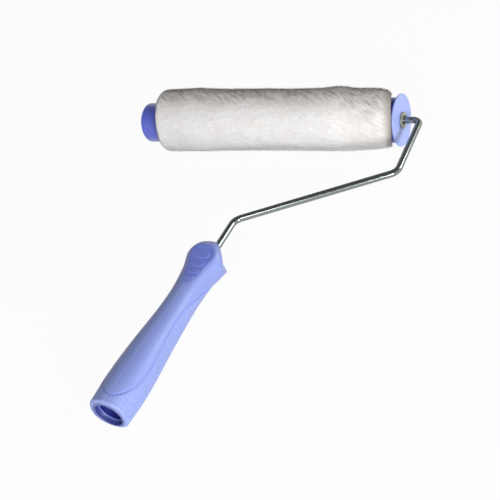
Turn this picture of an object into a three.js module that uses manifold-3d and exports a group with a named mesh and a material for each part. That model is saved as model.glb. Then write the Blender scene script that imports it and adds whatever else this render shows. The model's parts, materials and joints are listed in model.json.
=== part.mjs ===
import * as THREE from 'three';
import { mergeVertices } from 'three/addons/utils/BufferGeometryUtils.js';
import Module from 'manifold-3d';

// A hand paint roller: a nap cover on a plastic tube that turns on a bent steel rod,
// with a one-piece moulded handle that is open at its end for an extension pole.
// Lengths are in millimetres and angles in degrees. It lies on a table, +Z up: the roller's
// axis runs along X, the handle points towards -Y.

const wasm = await Module();
wasm.setup();

// Rod: X counts from the outer face of the splash disc, Y from the roller's axis
const rodDiameter = 6;
const firstCornerReach = 16.4;
const armLength = 73.1;
const armFlare = 1.8;
const handleInset = 102.2;
const gooseneckLength = 142.4;
const shoulderBendRadius = 7;
const elbowBendRadius = 10;

// Ears pinched out of the rod, which stop the washer
const earSpan = 8.6;
const earThickness = 2.2;
const earLength = 3.6;
const earFlatShare = 0.34;
const earTurn = 45;

// Turning tube and its two end caps
const tubeDiameter = 39.8;
const tubeWall = 2;
const rollerLength = 272;
const discDiameter = 46.2;
const discThickness = 1.9;
const discRimRadius = 0.7;
const capWall = 1.8;
const plugDepth = 11;
const capRecess = 2.4;
const bossDiameter = 15;
const bossLength = 14;

// Bearing bushes and the parts that hold the tube on the rod
const bushDiameter = 10;
const bushLength = 13;
const bushCollarDiameter = 12.4;
const bushCollarThickness = 1.2;
const washerDiameter = 14.4;
const washerThickness = 1.2;
const nutDiameter = 12;
const nutThickness = 0.7;
const nutDish = 1.1;

// Cover: a stiff core with the nap bonded round it
const coverLength = 245.6;
const coverDiameter = 55.6;
const coreWall = 1.2;
const coreInset = 0.6;
const shoulderRadius = 4;

// Handle: distances along it count from the nose, heights from the rod's stem
const noseDistance = 174.9;
const handleLength = 172.2;
const handleTurn = 12;
const stemDepth = 82;
const noseDiameter = 7.8;
const noseLength = 25;
const noseSlant = 8.6;
const noseAngles = [0, 110];
const crownWidth = 34;
const crownTop = 19;
const crownDepth = 14.2;
const headWidth = 31.4;
const headTop = 15.6;
const headDepth = 14;
const neckWidth = 25.8;
const neckTop = 13.7;
const neckDepth = 12.3;
const waistWidth = 23.2;
const waistTop = 13.6;
const waistDepth = 10.8;
const bellyWidth = 31.7;
const bellyTop = 16.5;
const bellyDepth = 14.1;
const endWidth = 30;
const endTop = 16.3;
const endDepth = 12.9;
const endRounding = 1.4;

// Section squareness: 2 is an ellipse, more is boxier
const headSquareness = 3.2;
const gripSquareness = 2.2;

// Roundness of the head's growth from the nose: on top and on its sides
const crownGrowth = 0.81;
const sideGrowth = 1.6;
const growthAngles = [20, 90];

// Finger hook under the head; its rear edge slants from the chin up to the sides
const hookWidth = 31.4;
const hookDepth = 17.9;
const hookReach = 10.9;
const hookSquareness = 3.1;
const hookFlare = 1.1;
const hookAngles = [60, 155];
const hookWeb = 13;
const lipThickness = 0.8;
const skirtReach = 28;
const skirtStep = 0.7;
const skirtFade = 4;

// Groove that runs up each side and joins over the top near the end: distance and angle from the top
const groovePath = [
  [38, 118], [47.9, 91], [60.2, 72], [72.7, 54], [90.8, 46], [116.8, 54], [134.5, 57], [149.5, 49],
  [159, 32], [164, 14], [165, 0],
];
const grooveRadius = 1.1;
const grooveDepth = 0.6;
const grooveSides = 8;
const grooveSteps = 90;

// Thumb pad on top of the head, with four low ovals
const padHeight = 13.15;
const padDishRadius = 118;
const padCentre = 42;
const padCutHeight = 14;
const ovalHeight = 0.5;
const ovalPlaces = [24.3, 33.2, 41.2, 48];
const ovalWidths = [11.6, 10.2, 8.8, 7.4];
const ovalLengths = [7.6, 6.6, 5.4, 4.2];

// Socket for an extension pole
const socketDiameter = 19.4;
const socketMouthDiameter = 21.4;
const socketMouthDepth = 4;
const socketChamfer = 0.4;
const socketDepth = 52;
const socketConeDepth = 5;

// Clearances, facets and one overrun for cuts
const fitGap = 0.3;
const runningGap = 0.25;
const overrun = 2;
const roundSides = 56;
const smallRoundSides = 32;
const rodSides = 16;
const bendSteps = 6;
const arcSteps = 4;
const handleColumns = 56;
const headRings = 10;
const scoopRings = 8;
const gripRings = 12;
const ringCrowding = 1.9;
const dishSteps = 16;
const ovalSides = 28;
const weldDistance = 1e-4;

const rodRadius = rodDiameter / 2;
const tubeRadius = tubeDiameter / 2;
const tubeBore = tubeRadius - tubeWall;
const plugRadius = tubeBore - fitGap;
const tubeFrameEnd = -discThickness - fitGap;
const tubeFreeEnd = -rollerLength;
const degrees = THREE.MathUtils.degToRad;

// Finishes
const handlePlastic = { color: 0x8a98e6, roughness: 0.42, metalness: 0 };
const rollerPlastic = { color: 0x6673cf, roughness: 0.3, metalness: 0 };
const discPlastic = { color: 0x9aa8f4, roughness: 0.35, metalness: 0 };
const platedSteel = { color: 0xb9bfbd, roughness: 0.2, metalness: 1 };
const washerSteel = { color: 0x8d9088, roughness: 0.4, metalness: 1 };
const bushPlastic = { color: 0xe8e6de, roughness: 0.5, metalness: 0 };
const coreBoard = { color: 0xe2d9bf, roughness: 0.8, metalness: 0 };
const napFabric = { color: 0xeceae8, roughness: 1, metalness: 0 };

function piece(name, geometry, finish) {
  const mesh = new THREE.Mesh(geometry, new THREE.MeshStandardMaterial(finish));
  mesh.name = name;
  return mesh;
}

// A closed geometry becomes a solid that can be joined and cut
function toSolid(geometry) {
  const bare = geometry.clone();
  bare.deleteAttribute('normal');
  bare.deleteAttribute('uv');
  const merged = mergeVertices(bare, weldDistance);
  return new wasm.Manifold(new wasm.Mesh({
    numProp: 3,
    vertProperties: new Float32Array(merged.attributes.position.array),
    triVerts: new Uint32Array(merged.index.array),
  }));
}

function toGeometry(solid) {
  const mesh = solid.getMesh();
  const geometry = new THREE.BufferGeometry();
  geometry.setAttribute('position', new THREE.BufferAttribute(mesh.vertProperties, 3));
  geometry.setIndex(new THREE.BufferAttribute(mesh.triVerts, 1));
  geometry.computeVertexNormals();
  return geometry;
}

// Turns a profile of [radius, place along X] points round the X axis
function turned(profile, sides = roundSides) {
  const points = profile.map(([radius, along]) => new THREE.Vector2(radius, along));
  return new THREE.LatheGeometry(points, sides).rotateZ(-Math.PI / 2);
}

// Points of a quarter arc in a profile, from one angle to another
function arc(radiusAt, alongAt, radius, from, to) {
  return Array.from({ length: arcSteps + 1 }, (_, i) => {
    const angle = degrees(THREE.MathUtils.lerp(from, to, i / arcSteps));
    return [radiusAt + radius * Math.cos(angle), alongAt + radius * Math.sin(angle)];
  });
}

function ring(inner, outer, low, high, sides) {
  return turned([[inner, low], [outer, low], [outer, high], [inner, high], [inner, low]], sides);
}

// A path made of stations, one at each end of a straight run and several round each bend
class StationPath extends THREE.Curve {
  constructor(stations) {
    super();
    this.stations = stations;
  }
  between(share, key) {
    const last = this.stations.length - 1;
    const place = Math.min(share, 1) * last;
    const index = Math.min(Math.floor(place), last - 1);
    const [from, to] = [this.stations[index][key], this.stations[index + 1][key]];
    return from.clone().lerp(to, place - index);
  }
  getPoint(share) { return this.between(share, 'point'); }
  getPointAt(share) { return this.getPoint(share); }
  getTangent(share) { return this.between(share, 'heading').normalize(); }
  getTangentAt(share) { return this.getTangent(share); }
}

// Stations along straight runs whose corners are rounded to the given radii
function bentStations(corners, radii) {
  const stations = [];
  const add = (point, heading) => stations.push({ point, heading: heading.clone() });
  const headings = corners.slice(1).map((corner, i) => corner.clone().sub(corners[i]).normalize());
  add(corners[0], headings[0]);
  radii.forEach((radius, i) => {
    const [before, after, corner] = [headings[i], headings[i + 1], corners[i + 1]];
    const turn = before.angleTo(after);
    const start = corner.clone().addScaledVector(before, -radius * Math.tan(turn / 2));
    const inward = after.clone().addScaledVector(before, -after.dot(before)).normalize();
    const centre = start.clone().addScaledVector(inward, radius);
    for (let step = 0; step <= bendSteps; step++) {
      const angle = turn * step / bendSteps;
      const point = centre.clone().addScaledVector(inward, -radius * Math.cos(angle));
      point.addScaledVector(before, radius * Math.sin(angle));
      const heading = before.clone().multiplyScalar(Math.cos(angle));
      add(point, heading.addScaledVector(inward, Math.sin(angle)));
    }
  });
  add(corners.at(-1), headings.at(-1));
  return stations;
}

function rodStart() {
  return tubeFreeEnd + capRecess - capWall;
}

function frameRod() {
  const x = [rodStart(), firstCornerReach, firstCornerReach + armFlare, -handleInset];
  const corners = [
    new THREE.Vector3(x[0], 0, 0),
    new THREE.Vector3(x[1], 0, 0),
    new THREE.Vector3(x[2], -armLength, 0),
    new THREE.Vector3(x[3], -gooseneckLength, 0),
    new THREE.Vector3(x[3], -noseDistance - stemDepth, 0),
  ];
  const radii = [shoulderBendRadius, elbowBendRadius, elbowBendRadius];
  const path = new StationPath(bentStations(corners, radii));
  const section = new THREE.Shape().absarc(0, 0, rodRadius, 0, 2 * Math.PI);
  const rod = new THREE.ExtrudeGeometry(section, {
    extrudePath: path, steps: path.stations.length - 1, curveSegments: rodSides / 2,
  });
  return toGeometry(toSolid(rod).add(toSolid(crimpEars())));
}

// Two flat ears that the press squeezes out of the round rod
function crimpEars() {
  const [half, thin, flat] = [earSpan / 2, earThickness / 2, earLength * earFlatShare];
  const outline = new THREE.Shape();
  outline.moveTo(0, -half).lineTo(flat, -half).lineTo(earLength, -thin);
  outline.lineTo(earLength, thin).lineTo(flat, half).lineTo(0, half).closePath();
  const ears = new THREE.ExtrudeGeometry(outline, { depth: earThickness, bevelEnabled: false });
  ears.translate(washerThickness + 2 * fitGap, 0, -thin);
  return ears.rotateX(degrees(earTurn));
}

function thrustWasher() {
  const inner = rodRadius + runningGap;
  return ring(inner, washerDiameter / 2, fitGap, fitGap + washerThickness, smallRoundSides);
}

function pushNut() {
  const inner = rodRadius + runningGap;
  const seat = tubeFreeEnd + capRecess - bushCollarThickness - 2 * fitGap;
  const outer = nutDiameter / 2;
  const profile = [
    [outer, seat], [inner, seat - nutDish], [inner, seat - nutDish - nutThickness],
    [outer, seat - nutThickness], [outer, seat],
  ];
  return turned(profile, smallRoundSides);
}

function coreTube() {
  return ring(tubeBore, tubeRadius, tubeFreeEnd, tubeFrameEnd);
}

// Wide flanged cap that keeps paint off the rod, with a plug that fits inside the tube
function splashDisc() {
  const [rim, rounding] = [discDiameter / 2, discRimRadius];
  const [boss, bore] = [bossDiameter / 2, bushDiameter / 2 + fitGap];
  const collar = bushCollarDiameter / 2 + fitGap;
  const collarSeat = -bushCollarThickness - fitGap;
  return turned([
    [bore, collarSeat], [bore, -bossLength], [boss, -bossLength],
    [boss, -discThickness - capWall], [plugRadius - capWall, -discThickness - capWall],
    [plugRadius - capWall, -plugDepth], [plugRadius, -plugDepth], [plugRadius, -discThickness],
    ...arc(rim - rounding, -discThickness + rounding, rounding, -90, 0),
    ...arc(rim - rounding, -rounding, rounding, 0, 90),
    [collar, 0], [collar, collarSeat], [bore, collarSeat],
  ]);
}

// Cap in the free end of the tube, set a little way in
function endCap() {
  const face = tubeFreeEnd + capRecess;
  const [boss, bore] = [bossDiameter / 2, bushDiameter / 2 + fitGap];
  return turned([
    [bore, face], [plugRadius, face], [plugRadius, face + plugDepth],
    [plugRadius - capWall, face + plugDepth], [plugRadius - capWall, face + capWall],
    [boss, face + capWall], [boss, face + bossLength], [bore, face + bossLength], [bore, face],
  ]);
}

// Collared bush, its collar towards +X at the place given
function bush(place, direction) {
  const [inner, outer] = [rodRadius + runningGap, bushDiameter / 2];
  const collar = bushCollarDiameter / 2;
  const profile = [
    [inner, 0], [collar, 0], [collar, bushCollarThickness], [outer, bushCollarThickness],
    [outer, bushLength], [inner, bushLength], [inner, 0],
  ].map(([radius, along]) => [radius, place + direction * along]);
  return turned(direction > 0 ? profile : profile.reverse(), smallRoundSides);
}

function sleeveCore() {
  const inner = tubeRadius + fitGap;
  const [low, high] = [tubeFrameEnd - coverLength + coreInset, tubeFrameEnd - coreInset];
  return ring(inner, inner + coreWall, low, high);
}

// Nap as a closed form with soft shoulders
function pileCover() {
  const inner = tubeRadius + coreWall + 2 * fitGap;
  const outer = coverDiameter / 2;
  const [low, high] = [tubeFrameEnd - coverLength, tubeFrameEnd];
  const round = shoulderRadius;
  return turned([
    [inner, low], ...arc(outer - round, low + round, round, -90, 0),
    ...arc(outer - round, high - round, round, 0, 90), [inner, high], [inner, low],
  ]);
}

// Smooth value through [place, value] pairs, level at places where it turns back
function smooth(pairs, place) {
  const last = pairs.length - 1;
  const slope = (i) => {
    if (i === 0 || i === last) return 0;
    const before = (pairs[i][1] - pairs[i - 1][1]) / (pairs[i][0] - pairs[i - 1][0]);
    const after = (pairs[i + 1][1] - pairs[i][1]) / (pairs[i + 1][0] - pairs[i][0]);
    return before * after > 0 ? 2 * before * after / (before + after) : 0;
  };
  const index = Math.max(0, pairs.findLastIndex(([at], i) => at <= place && i < last));
  const [[x0, y0], [x1, y1]] = [pairs[index], pairs[index + 1]];
  const span = x1 - x0;
  const t = THREE.MathUtils.clamp((place - x0) / span, 0, 1);
  const [a, b] = [slope(index) * span, slope(index + 1) * span];
  return y0 + t * a + t * t * (3 * (y1 - y0) - 2 * a - b) + t ** 3 * (a + b - 2 * (y1 - y0));
}

// Places of the handle's main sections, as shares of its length
const crownShare = 0.052;
const headShare = 0.14;
const neckShare = 0.22;
const waistShare = 0.36;
const bellyShare = 0.87;

// The handle's section at a distance from the nose: half width, top and depth
function handleSection(distance) {
  const shares = [crownShare, headShare, neckShare, waistShare, bellyShare, 1];
  const at = (...sizes) => smooth(sizes.map((size, i) => [shares[i] * handleLength, size]), distance);
  return {
    width: at(crownWidth, headWidth, neckWidth, waistWidth, bellyWidth, endWidth) / 2,
    top: at(crownTop, headTop, neckTop, waistTop, bellyTop, endTop),
    depth: at(crownDepth, headDepth, neckDepth, waistDepth, bellyDepth, endDepth),
  };
}

// Distance from the middle to a rounded box's edge at an angle from the top
function boxyRadius(angle, width, height, squareness) {
  const across = Math.abs(Math.sin(angle)) / width;
  const along = Math.abs(Math.cos(angle)) / height;
  return (across ** squareness + along ** squareness) ** (-1 / squareness);
}

function gripRadius(angle, distance) {
  const section = handleSection(distance);
  const up = Math.cos(angle) >= 0;
  const fade = THREE.MathUtils.smoothstep(distance, headShare * handleLength, waistShare * handleLength);
  const squareness = up ? THREE.MathUtils.lerp(headSquareness, gripSquareness, fade) : gripSquareness;
  return boxyRadius(angle, section.width, up ? section.top : section.depth, squareness);
}

function fromTop(angle) {
  return Math.abs(THREE.MathUtils.radToDeg(Math.atan2(Math.sin(angle), Math.cos(angle))));
}

// How far round the handle the hook has come: 0 on the sides, 1 underneath
function underness(angle) {
  return THREE.MathUtils.smoothstep(fromTop(angle), ...hookAngles);
}

function noseStart(angle) {
  return noseSlant * THREE.MathUtils.smoothstep(fromTop(angle), ...noseAngles);
}

function hookEdge(angle) {
  return THREE.MathUtils.lerp(skirtReach, hookReach, underness(angle));
}

function hookRadius(angle) {
  return boxyRadius(angle, hookWidth / 2, hookDepth, hookSquareness);
}

// The head grows quickly to a round top and flares evenly towards the hook below
function headRadius(angle, distance) {
  const { lerp, clamp, smoothstep } = THREE.MathUtils;
  const under = underness(angle);
  const [start, edge] = [noseStart(angle), hookEdge(angle)];
  const flare = clamp((distance - start) / (edge - start), 0, 1) ** hookFlare;
  const round = clamp((distance - start) / (noseLength - start), 0, 1);
  const power = lerp(crownGrowth, sideGrowth, smoothstep(fromTop(angle), ...growthAngles));
  const growth = lerp((1 - (1 - round) ** 2) ** power, flare, under);
  const full = lerp(gripRadius(angle, distance), hookRadius(angle), under);
  return lerp(noseDiameter / 2, full, growth);
}

// Behind the hook's edge: a small step at the sides, a hollow web for the finger underneath
function scoopRadius(angle, distance) {
  const under = underness(angle);
  const waist = waistShare * handleLength;
  const fade = 1 - THREE.MathUtils.smoothstep(distance, skirtReach, waist);
  const inset = skirtStep * Math.min(1, skirtFade * under) * fade;
  const behind = THREE.MathUtils.clamp((distance - hookEdge(angle)) / hookWeb, 0, 1);
  const grip = gripRadius(angle, distance);
  return grip - inset + (hookRadius(angle) - grip) * (under * (1 - behind)) ** 2;
}

// Rings of points from the nose to the end; the first ones follow the hook's slanting edge
function handleBody() {
  const waist = waistShare * handleLength;
  const roundStart = handleLength - endRounding;
  const rings = [];
  const addRing = (place, radius) => rings.push(Array.from({ length: handleColumns }, (_, i) => {
    const angle = 2 * Math.PI * i / handleColumns;
    const along = place(angle);
    return handlePoint(angle, along, radius(angle, along));
  }));
  for (let i = 0; i <= headRings; i++) {
    const share = (i / headRings) ** ringCrowding;
    addRing((angle) => THREE.MathUtils.lerp(noseStart(angle), hookEdge(angle), share), headRadius);
  }
  for (let i = 0; i <= scoopRings; i++) {
    const share = (i / scoopRings) ** ringCrowding;
    addRing((angle) => THREE.MathUtils.lerp(hookEdge(angle) + lipThickness, waist, share), scoopRadius);
  }
  for (let i = 1; i < gripRings; i++) {
    const along = THREE.MathUtils.lerp(waist, roundStart, i / gripRings);
    addRing(() => along, gripRadius);
  }
  for (let step = 0; step <= arcSteps; step++) {
    const lift = degrees(90 * step / arcSteps);
    const along = roundStart + endRounding * Math.sin(lift);
    const shrink = endRounding * (1 - Math.cos(lift));
    addRing(() => along, (angle) => gripRadius(angle, roundStart) - shrink);
  }
  return skinned(rings);
}

function handlePoint(angle, along, out) {
  return new THREE.Vector3(out * Math.sin(angle), -along, out * Math.cos(angle));
}

// Joins rings of points into a closed skin with a flat fan at each end
function skinned(rings) {
  const columns = rings[0].length;
  const points = rings.flat();
  const index = [];
  for (let r = 0; r + 1 < rings.length; r++) {
    for (let c = 0; c < columns; c++) {
      const [a, b] = [r * columns + c, r * columns + (c + 1) % columns];
      index.push(a, a + columns, b, b, a + columns, b + columns);
    }
  }
  const middle = (ringPoints) => {
    const sum = ringPoints.reduce((total, p) => total.add(p), new THREE.Vector3());
    return sum.divideScalar(columns);
  };
  const [first, last] = [points.length, points.length + 1];
  const start = (rings.length - 1) * columns;
  points.push(middle(rings[0]), middle(rings.at(-1)));
  for (let c = 0; c < columns; c++) {
    const next = (c + 1) % columns;
    index.push(first, c, next, last, start + next, start + c);
  }
  const geometry = new THREE.BufferGeometry().setFromPoints(points);
  geometry.setIndex(index);
  return geometry;
}

// Height of the thumb pad's hollow surface at a distance from the nose
function padLevel(distance) {
  return padHeight + padDishRadius - Math.sqrt(padDishRadius ** 2 - (distance - padCentre) ** 2);
}

// Everything above a shallow dish over the head, which leaves the thumb pad
function padCutter() {
  const outline = new THREE.Shape();
  const [low, high] = [-overrun, 2 * padCentre + overrun];
  outline.moveTo(low, padHeight + padCutHeight);
  for (let i = 0; i <= dishSteps; i++) {
    const along = THREE.MathUtils.lerp(low, high, i / dishSteps);
    outline.lineTo(along, padLevel(along));
  }
  outline.lineTo(high, padHeight + padCutHeight).closePath();
  const depth = crownWidth + overrun;
  const cutter = new THREE.ExtrudeGeometry(outline, { depth, bevelEnabled: false });
  return cutter.translate(0, 0, -depth / 2).rotateX(Math.PI / 2).rotateZ(-Math.PI / 2);
}

function padOval(i) {
  const outline = new THREE.Shape();
  outline.absellipse(0, 0, ovalWidths[i] / 2, ovalLengths[i] / 2, 0, 2 * Math.PI);
  const depth = ovalHeight + overrun;
  const oval = new THREE.ExtrudeGeometry(outline, {
    depth, bevelEnabled: false, curveSegments: ovalSides / 2,
  });
  oval.translate(0, 0, -overrun).rotateX(Math.asin((padCentre - ovalPlaces[i]) / padDishRadius));
  return oval.translate(0, -ovalPlaces[i], padLevel(ovalPlaces[i]));
}

function grooveCutter() {
  const onSkin = ([distance, turn]) => {
    const angle = degrees(turn);
    return handlePoint(angle, distance, gripRadius(angle, distance) + grooveRadius - grooveDepth);
  };
  const back = groovePath.slice(0, -1).reverse().map(([distance, turn]) => [distance, -turn]);
  const path = new THREE.CatmullRomCurve3([...groovePath, ...back].map(onSkin));
  const shape = new THREE.Shape().absarc(0, 0, grooveRadius, 0, 2 * Math.PI);
  return new THREE.ExtrudeGeometry(shape, {
    extrudePath: path, steps: grooveSteps, curveSegments: grooveSides / 2,
  });
}

// Pole socket: a chamfered mouth, a short counterbore, the main bore and a cone end
function socketCutter() {
  const [mouth, bore] = [socketMouthDiameter / 2, socketDiameter / 2];
  const open = handleLength + overrun;
  const cutter = turned([
    [0, -open], [mouth + socketChamfer, -open], [mouth + socketChamfer, -handleLength],
    [mouth, -handleLength + socketChamfer], [mouth, -handleLength + socketMouthDepth],
    [bore, -handleLength + socketMouthDepth + socketChamfer], [bore, -handleLength + socketDepth],
    [0, -handleLength + socketDepth + socketConeDepth],
  ], roundSides);
  return cutter.rotateZ(Math.PI / 2);
}

function stemCutter() {
  const length = stemDepth + fitGap + overrun;
  const bore = new THREE.CylinderGeometry(rodRadius + fitGap, rodRadius + fitGap, length, rodSides);
  return bore.translate(0, overrun - length / 2, 0);
}

function handle() {
  let solid = toSolid(handleBody()).subtract(toSolid(padCutter()));
  ovalPlaces.forEach((_, i) => { solid = solid.add(toSolid(padOval(i))); });
  for (const cutter of [grooveCutter(), stemCutter(), socketCutter()]) {
    solid = solid.subtract(toSolid(cutter));
  }
  return toGeometry(solid);
}

// Lean of the whole roller when it rests on its cover and on the belly of its handle
function restingLean() {
  const bellyDistance = noseDistance + bellyShare * handleLength;
  return Math.asin((coverDiameter - bellyDepth * 2) / 2 / bellyDistance);
}

const leaning = new THREE.Group();
leaning.add(
  piece('frame_rod', frameRod(), platedSteel),
  piece('thrust_washer', thrustWasher(), washerSteel),
  piece('push_nut', pushNut(), washerSteel),
  piece('core_tube', coreTube(), rollerPlastic),
  piece('splash_disc', splashDisc(), discPlastic),
  piece('end_cap', endCap(), rollerPlastic),
  piece('bush_frame_side', bush(-fitGap, -1), bushPlastic),
  piece('bush_free_side', bush(tubeFreeEnd + capRecess - bushCollarThickness - fitGap, 1), bushPlastic),
  piece('sleeve_core', sleeveCore(), coreBoard),
  piece('pile_cover', pileCover(), napFabric),
);
const handleMesh = piece('handle', handle(), handlePlastic);
handleMesh.position.set(-handleInset, -noseDistance, 0);
handleMesh.rotation.y = degrees(handleTurn);
leaning.add(handleMesh);
leaning.rotation.x = restingLean();

// The origin is under the middle of the whole, on the table
const group = new THREE.Group();
group.add(leaning);
const box = new THREE.Box3().setFromObject(group, true);
const middle = box.getCenter(new THREE.Vector3());
leaning.position.set(-middle.x, -middle.y, -box.min.z);

export default group;
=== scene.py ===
import json
import math

import bmesh
import bpy
import numpy as np
from mathutils import Matrix, Vector, noise


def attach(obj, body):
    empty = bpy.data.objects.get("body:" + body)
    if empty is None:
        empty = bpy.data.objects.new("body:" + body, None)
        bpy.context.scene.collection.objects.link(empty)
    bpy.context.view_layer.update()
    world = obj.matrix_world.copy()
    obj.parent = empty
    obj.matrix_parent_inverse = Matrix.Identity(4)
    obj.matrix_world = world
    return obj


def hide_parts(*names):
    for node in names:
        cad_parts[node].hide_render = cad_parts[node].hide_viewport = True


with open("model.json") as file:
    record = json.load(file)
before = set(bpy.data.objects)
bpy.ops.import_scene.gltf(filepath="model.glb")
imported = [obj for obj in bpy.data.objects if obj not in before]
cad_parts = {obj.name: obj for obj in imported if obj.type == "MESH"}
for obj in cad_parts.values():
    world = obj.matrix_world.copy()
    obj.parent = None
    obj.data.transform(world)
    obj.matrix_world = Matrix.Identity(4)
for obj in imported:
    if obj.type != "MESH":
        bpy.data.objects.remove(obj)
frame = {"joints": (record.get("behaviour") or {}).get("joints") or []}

print("stage: frame loaded")
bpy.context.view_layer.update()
axle = next(joint for joint in frame["joints"] if joint["name"] == "roller_spin")

# Everything is drawn in millimetres in the plane of the bent rod: x along the axle, y from the
# handle to the cover, z off the plane. The zero is on the axle at the outer face of the disc.
lie = {"lean": math.radians(2.41808), "pin": np.array(axle["pos_m"])}


def turnedByLean(points):
    x, y, z = np.moveaxis(np.asarray(points, float), -1, 0)
    c, s = math.cos(lie["lean"]), math.sin(lie["lean"])
    return np.stack([x, c * y - s * z, s * y + c * z], axis=-1)


def onTable(points):  # millimetres in the rod's plane to metres in the scene
    return turnedByLean(points) / 1000 + lie["pin"]


# Camera

shot = {"turn": 39.12, "rise": 37.61, "roll": -21.83, "aim": (-71.35, -176.09, 0.0),
        "distance": 661.0, "lens": 60.26, "sensor": 36.0, "nearest": 0.01}


def placeCamera():
    turn, rise, roll = (math.radians(shot[key]) for key in ("turn", "rise", "roll"))
    right = np.array([math.cos(turn), math.sin(turn), 0])
    back = np.array([math.sin(turn) * math.cos(rise), -math.cos(turn) * math.cos(rise),
                     math.sin(rise)])
    up = np.cross(back, right)
    rolledRight = right * math.cos(roll) + up * math.sin(roll)
    rolledUp = up * math.cos(roll) - right * math.sin(roll)
    eye = onTable(np.array(shot["aim"]) + back * shot["distance"])
    axes = [turnedByLean(axis) for axis in (rolledRight, rolledUp, back)]
    data = bpy.data.cameras.new("photoCamera")
    data.lens, data.sensor_width, data.clip_start = shot["lens"], shot["sensor"], shot["nearest"]
    camera = bpy.data.objects.new("photoCamera", data)
    bpy.context.scene.collection.objects.link(camera)
    camera.matrix_world = Matrix(np.vstack([np.column_stack(axes + [eye]), [0, 0, 0, 1]]).tolist())
    bpy.context.scene.camera = camera


placeCamera()
print("stage: camera placed")

# Node graphs


class Flow:  # a socket that maths can be written with
    def __init__(self, graph, socket):
        self.graph, self.socket = graph, socket

    def maths(self, operation, *values):
        return self.graph.add("ShaderNodeMath", {"operation": operation}, dict(enumerate(values)))

    def __add__(self, other):
        return self.maths("ADD", self, other)

    __radd__ = __add__

    def __sub__(self, other):
        return self.maths("SUBTRACT", self, other)

    def __rsub__(self, other):
        return self.maths("SUBTRACT", other, self)

    def __mul__(self, other):
        return self.maths("MULTIPLY", self, other)

    __rmul__ = __mul__

    def __abs__(self):
        return self.maths("ABSOLUTE", self)

    def between(self, low, high):  # 0 at low and 1 at high, with soft ends
        return self.graph.add("ShaderNodeMapRange", {"interpolation_type": "SMOOTHSTEP"},
                              {"Value": self, "From Min": low, "From Max": high})


class Graph:  # a node tree that nodes are added to
    def __init__(self, tree):
        self.tree = tree

    def add(self, kind, settings=None, values=None, out=0):
        node = self.tree.nodes.new(kind)
        for name, value in (settings or {}).items():
            setattr(node, name, value)
        for name, value in (values or {}).items():
            if isinstance(value, Flow):
                self.tree.links.new(value.socket, node.inputs[name])
            else:
                node.inputs[name].default_value = value
        return Flow(self, node.outputs[out]) if len(node.outputs) else None

    def mixed(self, factor, first, second):
        return self.add("ShaderNodeMix", {"data_type": "RGBA"},
                        {0: factor, 6: first, 7: second}, out=2)

    def parted(self, vector):  # its three numbers
        node = self.add("ShaderNodeSeparateXYZ", {}, {"Vector": vector}).socket.node
        return [Flow(self, node.outputs[axis]) for axis in "XYZ"]


class Finish(Graph):  # one material
    def __init__(self, name):
        self.material = bpy.data.materials.new(name)
        self.material.use_nodes = True
        super().__init__(self.material.node_tree)
        self.tree.nodes.clear()

    def place(self):  # metres on the object
        return self.add("ShaderNodeTexCoord", out="Object")

    def attribute(self, name, out="Fac"):
        return self.add("ShaderNodeAttribute", {"attribute_name": name}, out=out)

    def noise(self, scale, detail=3.0, roughness=0.55, at=None):
        return self.add("ShaderNodeTexNoise", {}, {
            "Vector": at or self.place(), "Scale": scale, "Detail": detail, "Roughness": roughness})

    def clouded(self, cloud, look):  # the low and the high tone of a finish
        return self.mixed(cloud, paint(*look["low"]), paint(*look["high"]))

    def bump(self, height, distance, strength=1.0):
        return self.add("ShaderNodeBump", {}, {
            "Height": height, "Distance": distance, "Strength": strength})

    def surface(self, values):
        shader = self.add("ShaderNodeBsdfPrincipled", {}, values)
        self.add("ShaderNodeOutputMaterial", {}, {"Surface": shader})
        return self.material


class Recipe(Graph):  # a Geometry Nodes tree with named sizes
    def __init__(self, name, sizes):
        super().__init__(bpy.data.node_groups.new(name, "GeometryNodeTree"))
        self.sizes = sizes
        interface = self.tree.interface
        interface.new_socket("Geometry", in_out="INPUT", socket_type="NodeSocketGeometry")
        for label, value in sizes.items():
            kind = "NodeSocketInt" if isinstance(value, int) else "NodeSocketFloat"
            interface.new_socket(label, in_out="INPUT", socket_type=kind)
        interface.new_socket("Geometry", in_out="OUTPUT", socket_type="NodeSocketGeometry")
        self.start = self.tree.nodes.new("NodeGroupInput")

    def given(self, label):
        return Flow(self, self.start.outputs[label])

    def named(self, label, kind="FLOAT"):
        return self.add("GeometryNodeInputNamedAttribute", {"data_type": kind}, {"Name": label})

    def stored(self, geometry, label, value, kind="FLOAT", domain="POINT"):
        return self.add("GeometryNodeStoreNamedAttribute", {"data_type": kind, "domain": domain},
                        {"Geometry": geometry, "Name": label, "Value": value})

    def end(self, geometry, material):
        real = self.add("GeometryNodeRealizeInstances", {}, {"Geometry": geometry})
        dressed = self.add("GeometryNodeSetMaterial", {}, {"Geometry": real, "Material": material})
        self.add("NodeGroupOutput", {}, {"Geometry": dressed})

    def made(self, carrier):  # the mesh that the tree makes from the carrier
        modifier = carrier.modifiers.new(self.tree.name, "NODES")
        modifier.node_group = self.tree
        for item in self.tree.interface.items_tree:
            if item.in_out == "INPUT" and item.name in self.sizes:
                modifier[item.identifier] = self.sizes[item.name]
        return applied(carrier)


def applied(thing):  # the plain mesh that its modifiers make
    graph = bpy.context.evaluated_depsgraph_get()
    mesh = bpy.data.meshes.new_from_object(
        thing.evaluated_get(graph), preserve_all_data_layers=True, depsgraph=graph)
    thing.modifiers.clear()
    return mesh


def paint(red, green, blue):  # a colour as a picture stores it, 0 to 255
    def straight(value):
        value /= 255
        return value / 12.92 if value <= 0.04045 else ((value + 0.055) / 1.055) ** 2.4
    return (straight(red), straight(green), straight(blue), 1.0)


# Curves and meshes


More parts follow.
